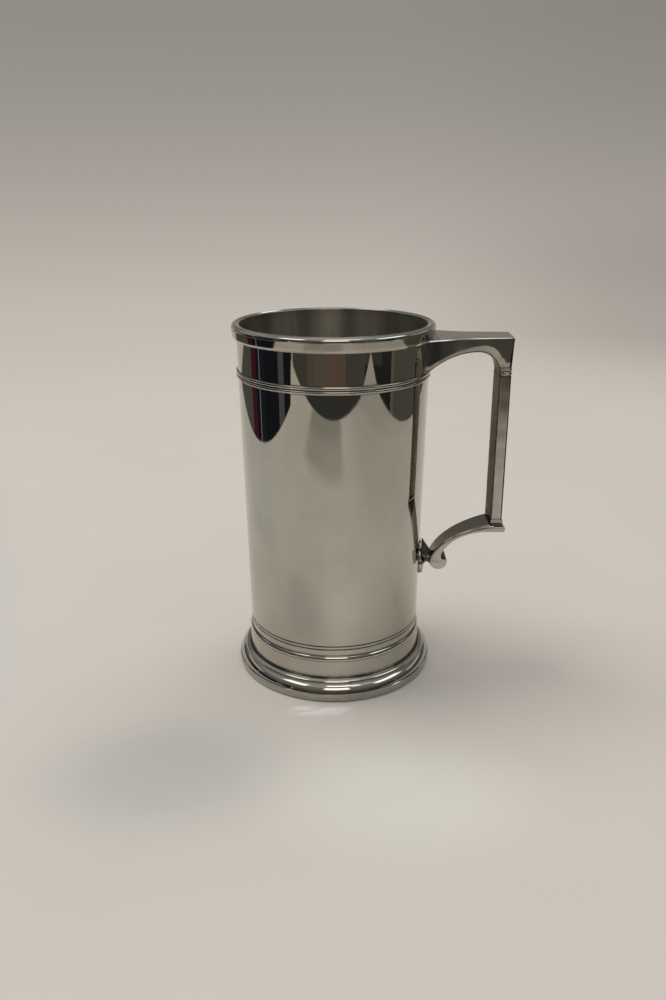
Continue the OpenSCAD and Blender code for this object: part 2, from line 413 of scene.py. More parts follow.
# drum: engraved pair low down, shallow seat for the reed, plain inside
wall = [(ro(9), 9)]
for zl in LINES:
    wall += [(ro(zl - 0.35), zl - 0.35, 0.08), (ro(zl) - 0.45, zl, 0.04), (ro(zl + 0.35), zl + 0.35, 0.08)]
wall[1:1] = [(ro(v), v) for v in (16.9, 17.3, 17.6, 17.9, 18.2, 18.5, 19.0)]
wall += [(ro(v), v) for v in (124.0, 124.4, 124.65)]
wall += [(ro(124.85), 124.85), (ro(124.85) - 0.35, 124.85), (ro(128) - 0.35, 128.0), (ro(128), 128.0)]
wall += [(ro(v), v) for v in (128.2, 128.45, 128.9)]
wall += [(ro(145), 145.0), (ro(145) - 1.3, 145.0), (ro(9) - 1.3, 9)]
drum = piece("drum_wall", *lathe(guarded(rounded(wall), 4.0)), [polished, satin], "pewter_polished", ["body_shell"],
             pick=lambda c, n: 1 if n.x * c.x + n.y * c.y < -1 else 0)
paint(drum, "patina_and_shade", lambda x, y, z: np.where(
    np.hypot(x, y) < ro(z) - 0.8,
    0.5 * near(z, 10.6, 1.2) + 0.25 * near(z, 144.8, 1.5),
    0.95 * np.maximum.reduce([near(z, zl, 0.21) for zl in LINES]) + 0.75 * near(z, 17.9, 0.35)
    + 0.55 * near(z, 124.8, 0.22) + 0.55 * near(z, 128.1, 0.22) + 0.55 * near(z, 140.0, 0.30)))

# mouth: low rolled lip over a band that leans in towards its lower bevel
lip = [(38.0, 140.0), (38.95, 140.0, 0.12), (39.43, 140.85, 0.35), (39.80, 143.66, 0.07), (39.68, 143.82, 0.05)]
lip += arc(38.27, 144.12, 1.55, 1.62, -9, 104, 24)
lip += [(37.25, 145.50)] + arc(36.98, 145.13, 0.30, 0.30, 76, 182, 9)
lip += [(36.68, 145.0), (38.0, 145.0)]
mouth = piece("mouth_moulding", *lathe(guarded(rounded(lip, 8), 1.0, 0.05)), [polished], "pewter_polished", ["lip_band"])
paint(mouth, "patina_and_shade", lambda x, y, z: np.where(np.hypot(x, y) > 39.0, 0.9 * near(z, 143.84, 0.13) + 0.4 * near(z, 140.0, 0.12) + 0.20 * (z < 143.7), 0.0)
      + 0.35 * near(z, 145.05, 0.12) * (np.hypot(x, y) < 36.9))
# painted highlight: a lighter line along the band's lower bevel
paint(mouth, "edge", lambda x, y, z: np.where(np.hypot(x, y) > 39.2, near(z, 140.85, 0.25), 0.0))

# applied double reed
rc, base = ro(REED_Z) + 0.05, ro(REED_Z) + 0.10
reed = [(rc - 0.37, 124.87), (base, 124.87)]
for k in (-0.8, 0.8):
    # a round with a flattened crown
    for a in np.radians(np.linspace(-86, 86, 25)):
        reed.append((rc + 0.60 * abs(math.cos(a)) ** 0.68, REED_Z + k + 0.60 * math.copysign(abs(math.sin(a)) ** 0.68, math.sin(a))))
reed += [(base, 127.98), (rc - 0.37, 127.98)]
ring = piece("double_reed", *lathe(guarded(reed, 1.0, 0.05)), [polished], "pewter_polished", ["reeded_band"])
paint(ring, "patina_and_shade", lambda x, y, z: 0.9 * near(z, REED_Z, 0.22) + 0.7 * near(z, 124.85, 0.2) + 0.7 * near(z, 128.0, 0.2))

# floor, with a faint turned boss
disc = [(0, 9.0), (34.0, 9.0), (34.15, 9.2), (34.15, 10.6), (33.6, 10.62), (30.5, 10.6), (29.9, 10.48), (29.3, 10.6)]
disc += [(12.0, 10.6), (11.6, 10.5), (11.2, 10.6), (1.2, 10.6), (0.6, 10.52), (0, 10.5)]
floor_plate = piece("floor_plate", *lathe(guarded(disc, 3.0, 0.08), 192), [satin], "pewter_satin", ["floor_disc"])
paint(floor_plate, "patina_and_shade", lambda x, y, z: 0.7 * near(np.hypot(x, y), 34.2, 0.9) + 0.6 * near(np.hypot(x, y), 29.9, 0.3)
      + 0.6 * near(np.hypot(x, y), 11.6, 0.25) + 0.7 * near(np.hypot(x, y), 0, 0.5))

# collar: a low convex shoulder where the drum enters the foot
bead = [(ro(15.72) + 0.02, 15.72), (36.34, 15.72)] + arc(34.16, 15.86, 2.36, 2.36, -2, 44, 16) + [(35.80, 17.62), (ro(17.6) + 0.02, 17.64)]
collar = piece("collar_bead", *lathe(guarded(bead, 1.0, 0.05)), [polished], "pewter_polished", ["foot_collar"])
paint(collar, "patina_and_shade", lambda x, y, z: 0.2 * near(z, 15.72, 0.10) + 0.9 * near(z, 17.63, 0.10))

# stepped foot: plain upright band, bead, ovolo, hollow underneath
foot = [(31.5, 9.0), (ro(9) + 0.05, 9.0), (ro(15.6) + 0.05, 15.6), (36.30, 15.6), (36.42, 15.5)]
foot += [(36.62, 8.26)] + arc(37.30, 6.80, 1.60, 1.60, 112, 6, 18)
foot += arc(36.50, 1.95, 4.80, 5.67, 60.7, 19.5, 20)
foot += [(40.92, 3.64), (39.1, 3.5), (38.9, 5.2), (37.6, 6.6), (35.6, 7.8), (31.5, 7.8)]
stem = piece("stepped_foot", *lathe(guarded(foot, 2.0, 0.06)), [polished], "pewter_polished", ["foot_moulding"])
# painted shade: the hollow underneath is dark all over; outside, the grooves and joints darken with dirt
paint(stem, "patina_and_shade", lambda x, y, z: np.where(
    np.hypot(x, y) > 36.2, 0.9 * near(z, 8.25, 0.22) * (np.hypot(x, y) < 37.0) + 0.9 * near(np.hypot(x - 0, y), 38.92, 0.10) * near(z, 6.95, 0.3)
    + 0.9 * near(z, 3.66, 0.16) + 0.2 * near(z, 15.6, 0.12), 0.75))

# ring that the mug stands on
standing = [(38.2, 0, 0.1), (41.0, 0, 0.25), (41.36, 0.45, 0.3), (41.42, 1.1, 0.5), (41.40, 2.3, 0.8), (41.30, 3.15, 0.12), (40.95, 3.44, 0.05),
            (40.35, 3.5), (38.8, 3.5), (38.8, 4.8), (38.0, 4.8), (38.0, 0.3, 0.1)]
rim = piece("standing_ring", *lathe(guarded(rounded(standing), 1.2, 0.05)), [polished], "pewter_polished", ["foot_rim"])
# painted shade: the inside dark, the outer face darker towards the front, and a painted contact shadow along the
# bottom; the joint under the ovolo darkens with dirt
paint(rim, "patina_and_shade", lambda x, y, z: np.where(np.hypot(x, y) < 39.5, 0.7, 0.10 + 0.22 * np.exp(-(x / 24.0) ** 2) + 0.6 * near(z, 3.5, 0.14) + 0.8 * near(z, 0.05, 0.30)))
# painted highlight: a lighter band along the lower rounding of the outer face
paint(rim, "edge", lambda x, y, z: np.where(np.hypot(x, y) > 40.5, 0.6 * near(z, 0.3, 0.3), 0.0))


# ------------------------------------------------------------------ handle bracket

XI = 64.77                         # inner face of the leg
TOP = 140.2
CX, CZ, CR = 55.77, 125.5, 9.0     # round inside the corner
AX, AZ, AR = 55.77, 134.5, 32.0    # arch towards the drum
TURN = 0.45                        # outer top corner
LEG = 128.35                       # height where the leg's level courses start


def XE(z):
    """Outer face of the leg, which leans out a little towards the top."""
    return 69.27 + 0.052 * (z - 128.0)


def inner_x(z):
    return CX + math.sqrt(CR ** 2 - (z - CZ) ** 2) if z > CZ else XI


def plan(x):
    return 6.75 + 0.080 * (69.42 - x) + 0.0125 * max(0.0, 56.0 - x) ** 2


def soffit(x):
    if x >= AX:
        return AZ
    return max(128.3, AZ - AR + math.sqrt(max(0.0, AR ** 2 - (AX - x) ** 2)))


def smooth(t):
    t = min(1.0, max(0.0, t))
    return t * t * (3 - 2 * t)


def half_width(x, z):
    """The leg draws in towards the grip below the arch."""
    if x <= 56:
        return plan(x)
    flare = 0.085 * min(max(z - 128.35, 0.0), 2.6) * (1 - smooth((z - 130.6) / 6.0)) * smooth((x - 60.0) / 4.0)
    return 6.85 + (plan(x) - 6.85) * smooth((z - 127.6) / 7.4) + flare


def outer_point(a):
    """Where a ray at angle a, from a pivot level with the top of the leg, meets the outer outline."""
    c, s = math.cos(a), math.sin(a)
    k = 0.052
    t = min((XE(LEG) - CX) / (c - k * s) if c > k * s + 1e-9 else 1e9, (TOP - LEG) / s if s > 1e-9 else 1e9)
    x, z = CX + t * c, LEG + t * s
    kx, kz = XE(TOP) - TURN, TOP - TURN
    if x > kx and z > kz:
        # on the rounded corner
        dx, dz = CX - kx, LEG - kz
        b = c * dx + s * dz
        t = -b + math.sqrt(b * b - (dx * dx + dz * dz - TURN ** 2))
        x, z = CX + t * c, LEG + t * s
    return x, z


def section(P, Q, r_out, r_in, w_out, w_in, bead=0.0):
    """Closed loop round one cross-section, from the outer outline P to the inner outline Q.
    The inner arris is eased with a flat ellipse, r_in tall on the side."""
    r_y = 0.44 * r_in
    P, Q = Vector(P), Vector(Q)
    e = (Q - P)
    L = e.length
    e.normalize()
    half = []
    for t in (0.0, 0.3, 0.6, 0.85):
        half.append((0.0, (w_out - r_out) * t, 1.0))
    half.append((0.0, w_out - 0.62 * r_out - 0.05, 1.0))
    for t in (0.0, 0.07, 0.3, 0.5, 0.7, 0.93, 1.0):
        # slightly crowned chamfer, taller on the side than it is wide
        swell = 0.028 * 4 * t * (1 - t)
        half.append((r_out * t - 0.53 * swell, w_out - 0.62 * r_out * (1 - t) + 0.85 * swell, 1.0))
    lo, hi = r_out, L - r_in
    for t in [0.05 / (hi - lo), 0.2, 0.4, 0.6, 0.8, 1 - 0.05 / (hi - lo)]:
        half.append((lo + (hi - lo) * t, w_out + (w_in - w_out) * t, 1.0))
    for k in range(9):
        a = math.pi / 2 * k / 8
        half.append((hi + r_in * math.sin(a), w_in - r_y + r_y * math.cos(a), max(0.0, 1.0 - 2.5 * k / 8)))
    half.append((L, w_in - r_y - 0.05, 0.0))
    for t in (0.85, 0.6, 0.3, 0.0):
        half.append((L, (w_in - r_y) * t, 0.0))
    pts = []
    for i, (a, y, f) in enumerate(half + [(a, -y, f) for a, y, f in half[-2:0:-1]]):
        q = P + e * a
        x, z = q
        if bead:
            # raised rings go round the two sides and the outer face
            x += bead * f * smooth(1 - a / 1.2)
            y += math.copysign(bead * f * smooth((abs(y) - w_out + 1.2) / 1.2), y)
        pts.append((x, y, z))
    return pts


def bead_height(z):
    h = 0.0
    for c, r, k in ((127.62, 0.50, 0.45), (126.05, 0.62, 0.50)):
        if abs(z - c) < r:
            h = max(h, k * math.sqrt(r * r - (z - c) ** 2))
    return h


def edge_round(x):
    """Rounding of the lower arris, widest where the arch turns down into the leg."""
    return 1.80 + 0.8 * (1 - smooth((x - 37) / 5)) + 0.25 * smooth((x - 40) / 14) + 0.75 * smooth((x - 50) / 6)


def arm_section(x):
    return section((x, TOP), (x, soffit(x)), 0.55, edge_round(x), plan(x), plan(x))


loops = []
# the root follows the drum: every long line starts where it meets the drum's wall
first, X1, ROOT = arm_section(47.0), 47.0, 26
starts = []
for k in range(len(first)):
    x = 37.0
    for _ in range(60):
        y, zz = arm_section(x)[k][1:]
        x = 0.5 * x + 0.5 * math.sqrt(max(1.0, (ro(zz) - 0.45) ** 2 - y * y))
    starts.append(x)
for i in range(ROOT + 1):
    u = i / ROOT
    u = u * u * (1.6 - 0.6 * u)
    loop = []
    for k in range(len(first)):
        loop.append(arm_section(starts[k] + (X1 - starts[k]) * u)[k])
    loops.append(loop)
for x in np.linspace(47.0, CX, 16)[1:]:
    loops.append(arm_section(float(x)))
END = math.degrees(math.asin((LEG - CZ) / CR))
for a in np.linspace(90, 0, 61)[1:]:
    P = outer_point(math.radians(a))
    b = math.radians(END + (90 - END) * a / 90)
    Q = (CX + CR * math.cos(b), CZ + CR * math.sin(b))
    ri = edge_round(60) + 1.2 * math.sin(math.radians(2 * a)) - 0.5 * smooth((90 - a) / 90)
    loops.append(section(P, Q, 0.55 + 0.45 * smooth((42 - a) / 24), ri, half_width(*P), half_width(*Q)))
for z in np.linspace(128.3, 125.02, 56):
    z = float(z)
    loops.append(section((XE(z), z), (inner_x(z), z), 1.0, edge_round(60) - 0.5, half_width(XE(z), z), half_width(XI, z), bead_height(z)))
# the outer chamfers of the leg take the near-black pewter as painted shade
bracket = piece("upper_bracket", *loft(loops), [bright, buffed, painted_shade_pewter], "pewter_cast", ["handle_bracket"],
                pick=lambda c, n: 1 if n.x < -0.55 and c.x > 60 and c.z < 131.6 else 2 if n.x > 0.3 and abs(n.y) > 0.5 and c.x > 60 and 128.4 < c.z < 139.3 else 0)


def under(x, z):
    """Distance from the inner outline of the bracket, seen from the side."""
    return np.array([z1 - soffit(x1) if x1 < CX else (math.hypot(x1 - CX, z1 - CZ) - CR if z1 > CZ else x1 - XI) for x1, z1 in zip(x, z)])


# Painted shade: a dark line just above the lower arris of each side with a broad darkening beside it, the inner face
# darker below the corner, and a dark line on the outer arris of the leg. The grooves beside the rings and the root on
# the drum darken with dirt.
def bracket_grime_and_shade(x, y, z):
    d = under(x, z)
    half = np.array([half_width(a, b) for a, b in zip(x, z)])
    on_side = np.abs(y) > half - 1.35
    line = 0.9 * near(d, 0.28, 0.27) * on_side + 0.30 * near(d, 1.4, 1.2) * on_side
    rings = np.where(d > 0.25, near(z, 126.88, 0.26) + near(z, 125.2, 0.25) + 0.9 * near(z, 128.38, 0.26), 0.0) * (x > 63)
    face = (d < 0.15) * ~on_side * np.clip((133.2 - z) / 3.0, 0, 1) * (x > 60) * 0.34
    back_edge = 0.95 * near(x - 69.27 - 0.052 * (z - 128.0), -0.1, 0.34) * (np.abs(y) > half - 0.5) * (z < 139.4)
    root = 0.8 * near(np.hypot(x, y), ro(z), 0.35) + 0.5 * near(z, 140.2, 0.2) * (x < 40.6)
    return np.maximum.reduce([line, rings, face, back_edge, root])


paint(bracket, "patina_and_shade", bracket_grime_and_shade)
# painted highlight: a lighter line along the top arris of each side
paint(bracket, "edge", lambda x, y, z: np.where((x > 41) & (z > 139.4), near(z, 139.95, 0.35) * near(np.abs(y), [plan(v) - 0.1 for v in x], 0.4), 0.0))


# -------------------------------------------------------------------- strap grip

def strap(z):
    """Rounded rectangle of the grip at one height, slightly crowned and hand-dressed."""
    w = 0.03 * math.sin(z * 0.21 + 0.6) + 0.02 * math.sin(z * 0.53)
    x0, x1, hw = 64.77 + 0.6 * w, 69.42 - 0.5 * w, 6.9 + w
    pts = rounded([(x0, -hw, 0.5), (x1, -hw, 0.85), (x1, hw, 0.85), (x0, hw, 0.5)], 6)
    pts = guarded(pts, 1.7, 0.05)
    mid = (x0 + x1) / 2
    return [(x + 0.10 * (1 - (y / hw) ** 2) * (x - mid) / (x1 - mid), y, z) for x, y in pts]


zs = [65.0, 65.03, 65.1] + [float(v) for v in np.linspace(66, 124, 59)] + [124.9, 124.97, 125.0]
# the outer arrises take the near-black pewter as painted shade
grip = piece("strap_grip", *loft([strap(z) for z in zs]), [buffed, painted_shade_pewter], "pewter_cast", ["handle_grip"],
             pick=lambda c, n: 1 if n.x > 0.3 and abs(n.y) > 0.3 else 0)
# painted shade: the inner face darker towards the bottom and dark lines on the inner and outer arrises; the joints at
# both ends darken with dirt
paint(grip, "patina_and_shade", lambda x, y, z: 0.7 * near(z, 125.0, 0.7) * np.where(x < 65.2, 0.3, 1.0) + 0.7 * near(z, 65.0, 0.7)
      + 0.50 * (x < 65.0) * (np.abs(y) < 6.4) * (1 - 0.5 * np.clip((z - 106.0) / 12.0, 0, 1))
      + 0.9 * (x < 65.15) * (np.abs(y) > 6.42) + 0.95 * (x > 68.95) * (np.abs(y) > 6.42))


# ------------------------------------------------------------------- scroll arm

def arm_width(x):
    return 7.45 - 0.135 * (64.77 - min(x, 64.77))


def pad_offset(z):
    """How far the moulded pad stands out from the grip: bead, cove, rounded edge."""
    if z > 63.68:
        d = abs(z - 64.22)
        return 0.42 * math.sqrt(max(0.0, 1 - (d / 0.47) ** 2)) if d < 0.47 else -0.10 * (1 - min(1.0, abs(z - 64.78) / 0.16))
    if z > 61.75:
        return 0.05 + 1.15 * ((63.68 - z) / 1.93) ** 1.25
    t = min(1.0, (61.75 - z) / 0.55)
    return 1.20 + 0.26 * math.sqrt(max(0.0, 1 - (1 - t) ** 2))


def pad_section(z, shrink=0.0):
    d = pad_offset(z) - shrink
    x1, hw = 69.42 + d, 6.9 + 0.42 * d
    pts = rounded([(64.77, -hw, 0.12), (x1, -hw, 0.55), (x1, hw, 0.55), (64.77, hw, 0.12)], 6)
    return [(x, y, z) for x, y in guarded(pts, 30.0, 0.05)]


SX, SZ, SR = 44.05, 45.4, 3.6
outline, arris = [], []


def run(points, r0, r1):
    """Adds a stretch of the side outline, with its arris rounded from r0 to r1."""
    outline.extend(points)
    arris.extend(r0 + (r1 - r0) * k / max(1, len(points) - 1) for k in range(len(points)))


run([(66.4, 62.3), (66.4, 61.0), (66.4, 59.90), (65.6, 59.88)], 0.3, 0.3)
run(bez([(64.5, 59.87), (56.0, 59.4), (48.5, 55.5), (45.75, 49.6)], 42), 0.3, 0.3)
run(bez([(45.55, 49.1), (45.10, 48.1), (45.05, 46.95), (45.75, 46.50)], 9), 0.25, 0.18)
run(bez([(46.0, 46.40), (46.55, 46.25), (47.05, 46.75), (47.38, 46.60)], 5), 0.18, 0.18)
run(arc(SX, SZ, SR, SR, 17, -204, 46), 0.22, 0.35)
UPPER = bez([(40.72, 46.95), (44.3, 56.4), (56.5, 60.9), (64.70, 62.6)], 44)
LOWER = list(outline)
run(UPPER, 0.50, 0.95)
run([(65.4, 62.62), (66.0, 62.6)], 0.9, 0.6)
pad_z = [65.0, 64.97, 64.94] + [float(v) for v in np.linspace(64.9, 63.7, 34)] + [float(v) for v in np.linspace(63.66, 61.2, 36)] + [61.1, 60.8, 60.4, 60.2]
pad_loops = [pad_section(z) for z in pad_z]
pad_loops += [[(x, y, z) for (x, y, _) in pad_section(60.2, 0.35 * (1 - math.cos(a)))] for a, z in
              [(math.pi / 2 * k / 5, 60.2 - 0.40 * math.sin(math.pi / 2 * k / 5)) for k in range(1, 6)]]
arm = piece("scroll_arm", *merged(slab(outline, arm_width, arris, lines=3), loft(pad_loops)), [dressed], "pewter_cast", ["handle_scroll_arm"], crease=50.0)


def gap_to(points, x, z):
    """Distance in the side view from each vertex to a run of the outline."""
    p = np.array(points)
    return np.sqrt(((x[:, None] - p[None, :, 0]) ** 2 + (z[:, None] - p[None, :, 1]) ** 2).min(1))


def arm_lines(x, y, z):
    """Painted shade: dark lines just inside the upper arris of each side and along the lower arris and the scroll, and
    a faint darkening of the upper face.
    """
    half = np.array([arm_width(v) for v in x])
    radius = 0.50 + 0.45 * np.clip((x - 40.7) / 24.0, 0, 1)
    top = near(gap_to(UPPER, x, z) - radius, 0.18, 0.12) * (np.abs(y) > half - 0.05) * (x < 64.6)
    low = (gap_to(LOWER, x, z) < 0.16) * (np.abs(y) > half - 0.40) * (x < 64.6)
    face = 0.07 * (gap_to(UPPER, x, z) < 0.3) * (np.abs(y) < half - 0.8) * (x > 50)
    return np.maximum.reduce([0.85 * top, 0.75 * low, face])


# painted shade: a dark spot inside the scroll's curl and a dark line at the pad's lower rounding; the pad's quirks
# darken as grooves; darker also where the pad meets the grip and where the scroll meets the neck
paint(arm, "patina_and_shade", lambda x, y, z: np.maximum.reduce([arm_lines(x, y, z),
    0.85 * near(z, 64.80, 0.13) * (x > 64), 0.85 * near(z, 63.66, 0.16) * (x > 64.9), 0.5 * near(z, 61.30, 0.10) * (x > 64.9),
    1.0 * np.exp(-((x - 46.1) ** 2 + (z - 47.0) ** 2) / 0.9) * (np.abs(y) < [arm_width(v) - 0.1 for v in x]),
    0.8 * near(z, 63.0, 0.7) * near(x, 64.7, 0.5), 0.5 * np.exp(-((x - 40.6) ** 2 + (z - 45.6) ** 2) / 1.5)]))
# painted highlight: a lighter line along the upper arris of each side
paint(arm, "edge", lambda x, y, z: near(np.abs(y), [arm_width(v) - 0.3 for v in x], 0.3) * (x < 64.7) * (gap_to(UPPER, x, z) < 0.5))


# -------------------------------------------------- neck and plate below the handle

def spool():
    prof = [(38.2, 0.0), (38.2, 2.25), (38.62, 2.32), (38.9, 2.12), (39.15, 1.8), (39.5, 1.6), (39.85, 1.66), (40.2, 1.95),
            (40.5, 2.3), (40.85, 2.42), (41.2, 2.3), (41.6, 2.2), (41.6, 0.0)]
    prof = guarded(rounded([(p[0], p[1], 0.18) if 0 < i < len(prof) - 1 else p for i, p in enumerate(prof)], 3), 0.6, 0.05)
    verts, faces = lathe([(r, x) for x, r in prof], 96)
    return [(z, y, 45.1 + x) for x, y, z in verts], faces


fin = guarded(rounded([(37.2, 46.4), (37.2, 53.8), (37.7, 53.9, 0.15), (41.1, 48.7, 0.35), (41.5, 47.6, 0.3), (41.5, 46.4)], 4), 0.6, 0.05)
# the fin's flat faces take the near-black pewter as painted shade
neck = piece("scroll_neck_spool", *merged(spool(), slab(fin, lambda x: 0.8, [0.22] * len(fin), 3, 2)), [cast, painted_shade_pewter], "pewter_cast", ["scroll_neck"],
             pick=lambda c, n: 1 if abs(n.y) > 0.7 and c.z > 47.3 else 0)
# painted shade: the fin's faces and the lower part of the spool dark; darker also at the spool's waist and where it
# meets the plate and the scroll
paint(neck, "patina_and_shade", lambda x, y, z: 0.8 * near(x, 38.4, 0.35) * (z < 47.5) + 0.5 * near(x, 39.5, 0.4) * (z < 46.5) + 0.8 * near(x, 41.1, 0.35) * (z < 47.5)
      + 0.95 * (np.abs(y) > 0.57) * (np.abs(y) < 0.9) * (z > 46.3) + 0.30 * (z < 46.3))


def leaf_edge(t):
    """Outline of the plate: round below, drawn to a point above. t runs once round, from the point."""
    key = [(0.0, 54.3), (0.80, 52.9), (1.0, 51.2), (1.15, 49.6), (1.65, 48.1), (2.75, 46.8), (3.8, 45.4), (4.35, 43.7),
           (4.25, 41.8), (3.6, 40.0), (2.1, 39.0), (0.0, 38.7)]
    u = abs(((t + 0.5) % 1.0) - 0.5) * 2 * (len(key) - 1)
    i = min(int(u), len(key) - 2)
    f = u - i
    pick = [np.array(key[max(0, min(len(key) - 1, i + k))]) for k in (-1, 0, 1, 2)]
    if i == 0:
        pick[0] = np.array((-key[1][0], key[1][1]))
    if i == len(key) - 2:
        pick[3] = np.array((-key[-2][0], key[-2][1]))
    p = 0.5 * (2 * pick[1] + (pick[2] - pick[0]) * f + (2 * pick[0] - 5 * pick[1] + 4 * pick[2] - pick[3]) * f * f
               + (3 * pick[1] - pick[0] - 3 * pick[2] + pick[3]) * f ** 3)
    side = 1 if (t % 1.0) < 0.5 else -1
    return side * max(0.0, p[0]) if i else side * abs(p[0]), p[1]


def thin(z):
    """The plate's rim is lower towards the point."""
    return 1 - 0.62 * smooth((z - 42.8) / 6.0)


def crown(z):
    """Height of the plate's ridge above the drum."""
    return 1.68 * thin(z) + 0.67 * smooth((z - 37.6) / 3.2) * (1 - smooth((z - 46.2) / 7.0))


loops, N = [], 96
ends = [leaf_edge(k / N) for k in range(N)]


def on_drum(y, z, h):
    r = ro(z) + h
    return (math.sqrt(r * r - y * y), y, z)


# upright rim, rounded shoulder, domed face
rim_line = [(1.0, -0.25), (1.0, 0.05), (1.0, 0.6), (1.0, 1.15), (1.0, 1.40), (0.994, 1.52), (0.98, 1.60), (0.96, 1.64), (0.935, 1.66)]
for u, h in rim_line:
    loops.append([on_drum(y * u, 44.2 + (z - 44.2) * u, h * thin(44.2 + (z - 44.2) * u) if h > 0 else h) for y, z in ends])
for u in (0.90, 0.86, 0.81, 0.75, 0.68, 0.6, 0.5, 0.4, 0.3, 0.2, 0.1, 0.03):
    dome = (1 - (u / 0.94) ** 2) ** 0.8
    loops.append([on_drum(y * u, 44.2 + (z - 44.2) * u, 1.66 * thin(44.2 + (z - 44.2) * u) + (crown(44.2 + (z - 44.2) * u) - 1.66 * thin(44.2 + (z - 44.2) * u)) * dome) for y, z in ends])
plate = piece("escutcheon_leaf", *loft(loops), [cast], "pewter_cast", ["lower_escutcheon"], crease=60.0)
paint(plate, "patina_and_shade", lambda x, y, z: 0.85 * near(np.hypot(x, y) - ro(z), -0.05, 0.18) + 0.7 * np.exp(-(np.hypot(y, z - 45.1) - 2.4) ** 2 / 0.25) + 0.9 * near(z, 46.2, 1.5) * (np.abs(y) > 1.3))


# ------------------------------------------------------------------------- stage

def stage_mesh(name, verts, faces, mat, camera=True, diffuse=True, glossy=True, shadow=True):
    me = bpy.data.meshes.new(name)
    me.from_pydata([tuple(c * MM for c in v) for v in verts], [], faces)
    me.materials.append(mat)
    ob = bpy.data.objects.new(name, me)
    scene.collection.objects.link(ob)
    ob.visible_camera, ob.visible_diffuse, ob.visible_glossy, ob.visible_shadow = camera, diffuse, glossy, shadow
    ob.visible_transmission = ob.visible_volume_scatter = False
    return ob


# colours of the pale surround by height above the horizon
HORIZON = [(0.000, (0.56, 0.520, 0.465)), (0.42, (0.50, 0.462, 0.415)), (0.50, (0.390, 0.358, 0.324)),
           (0.515, (0.362, 0.333, 0.302)), (0.54, (0.325, 0.298, 0.274)), (0.575, (0.290, 0.265, 0.243)), (1.0, (0.24, 0.222, 0.205))]


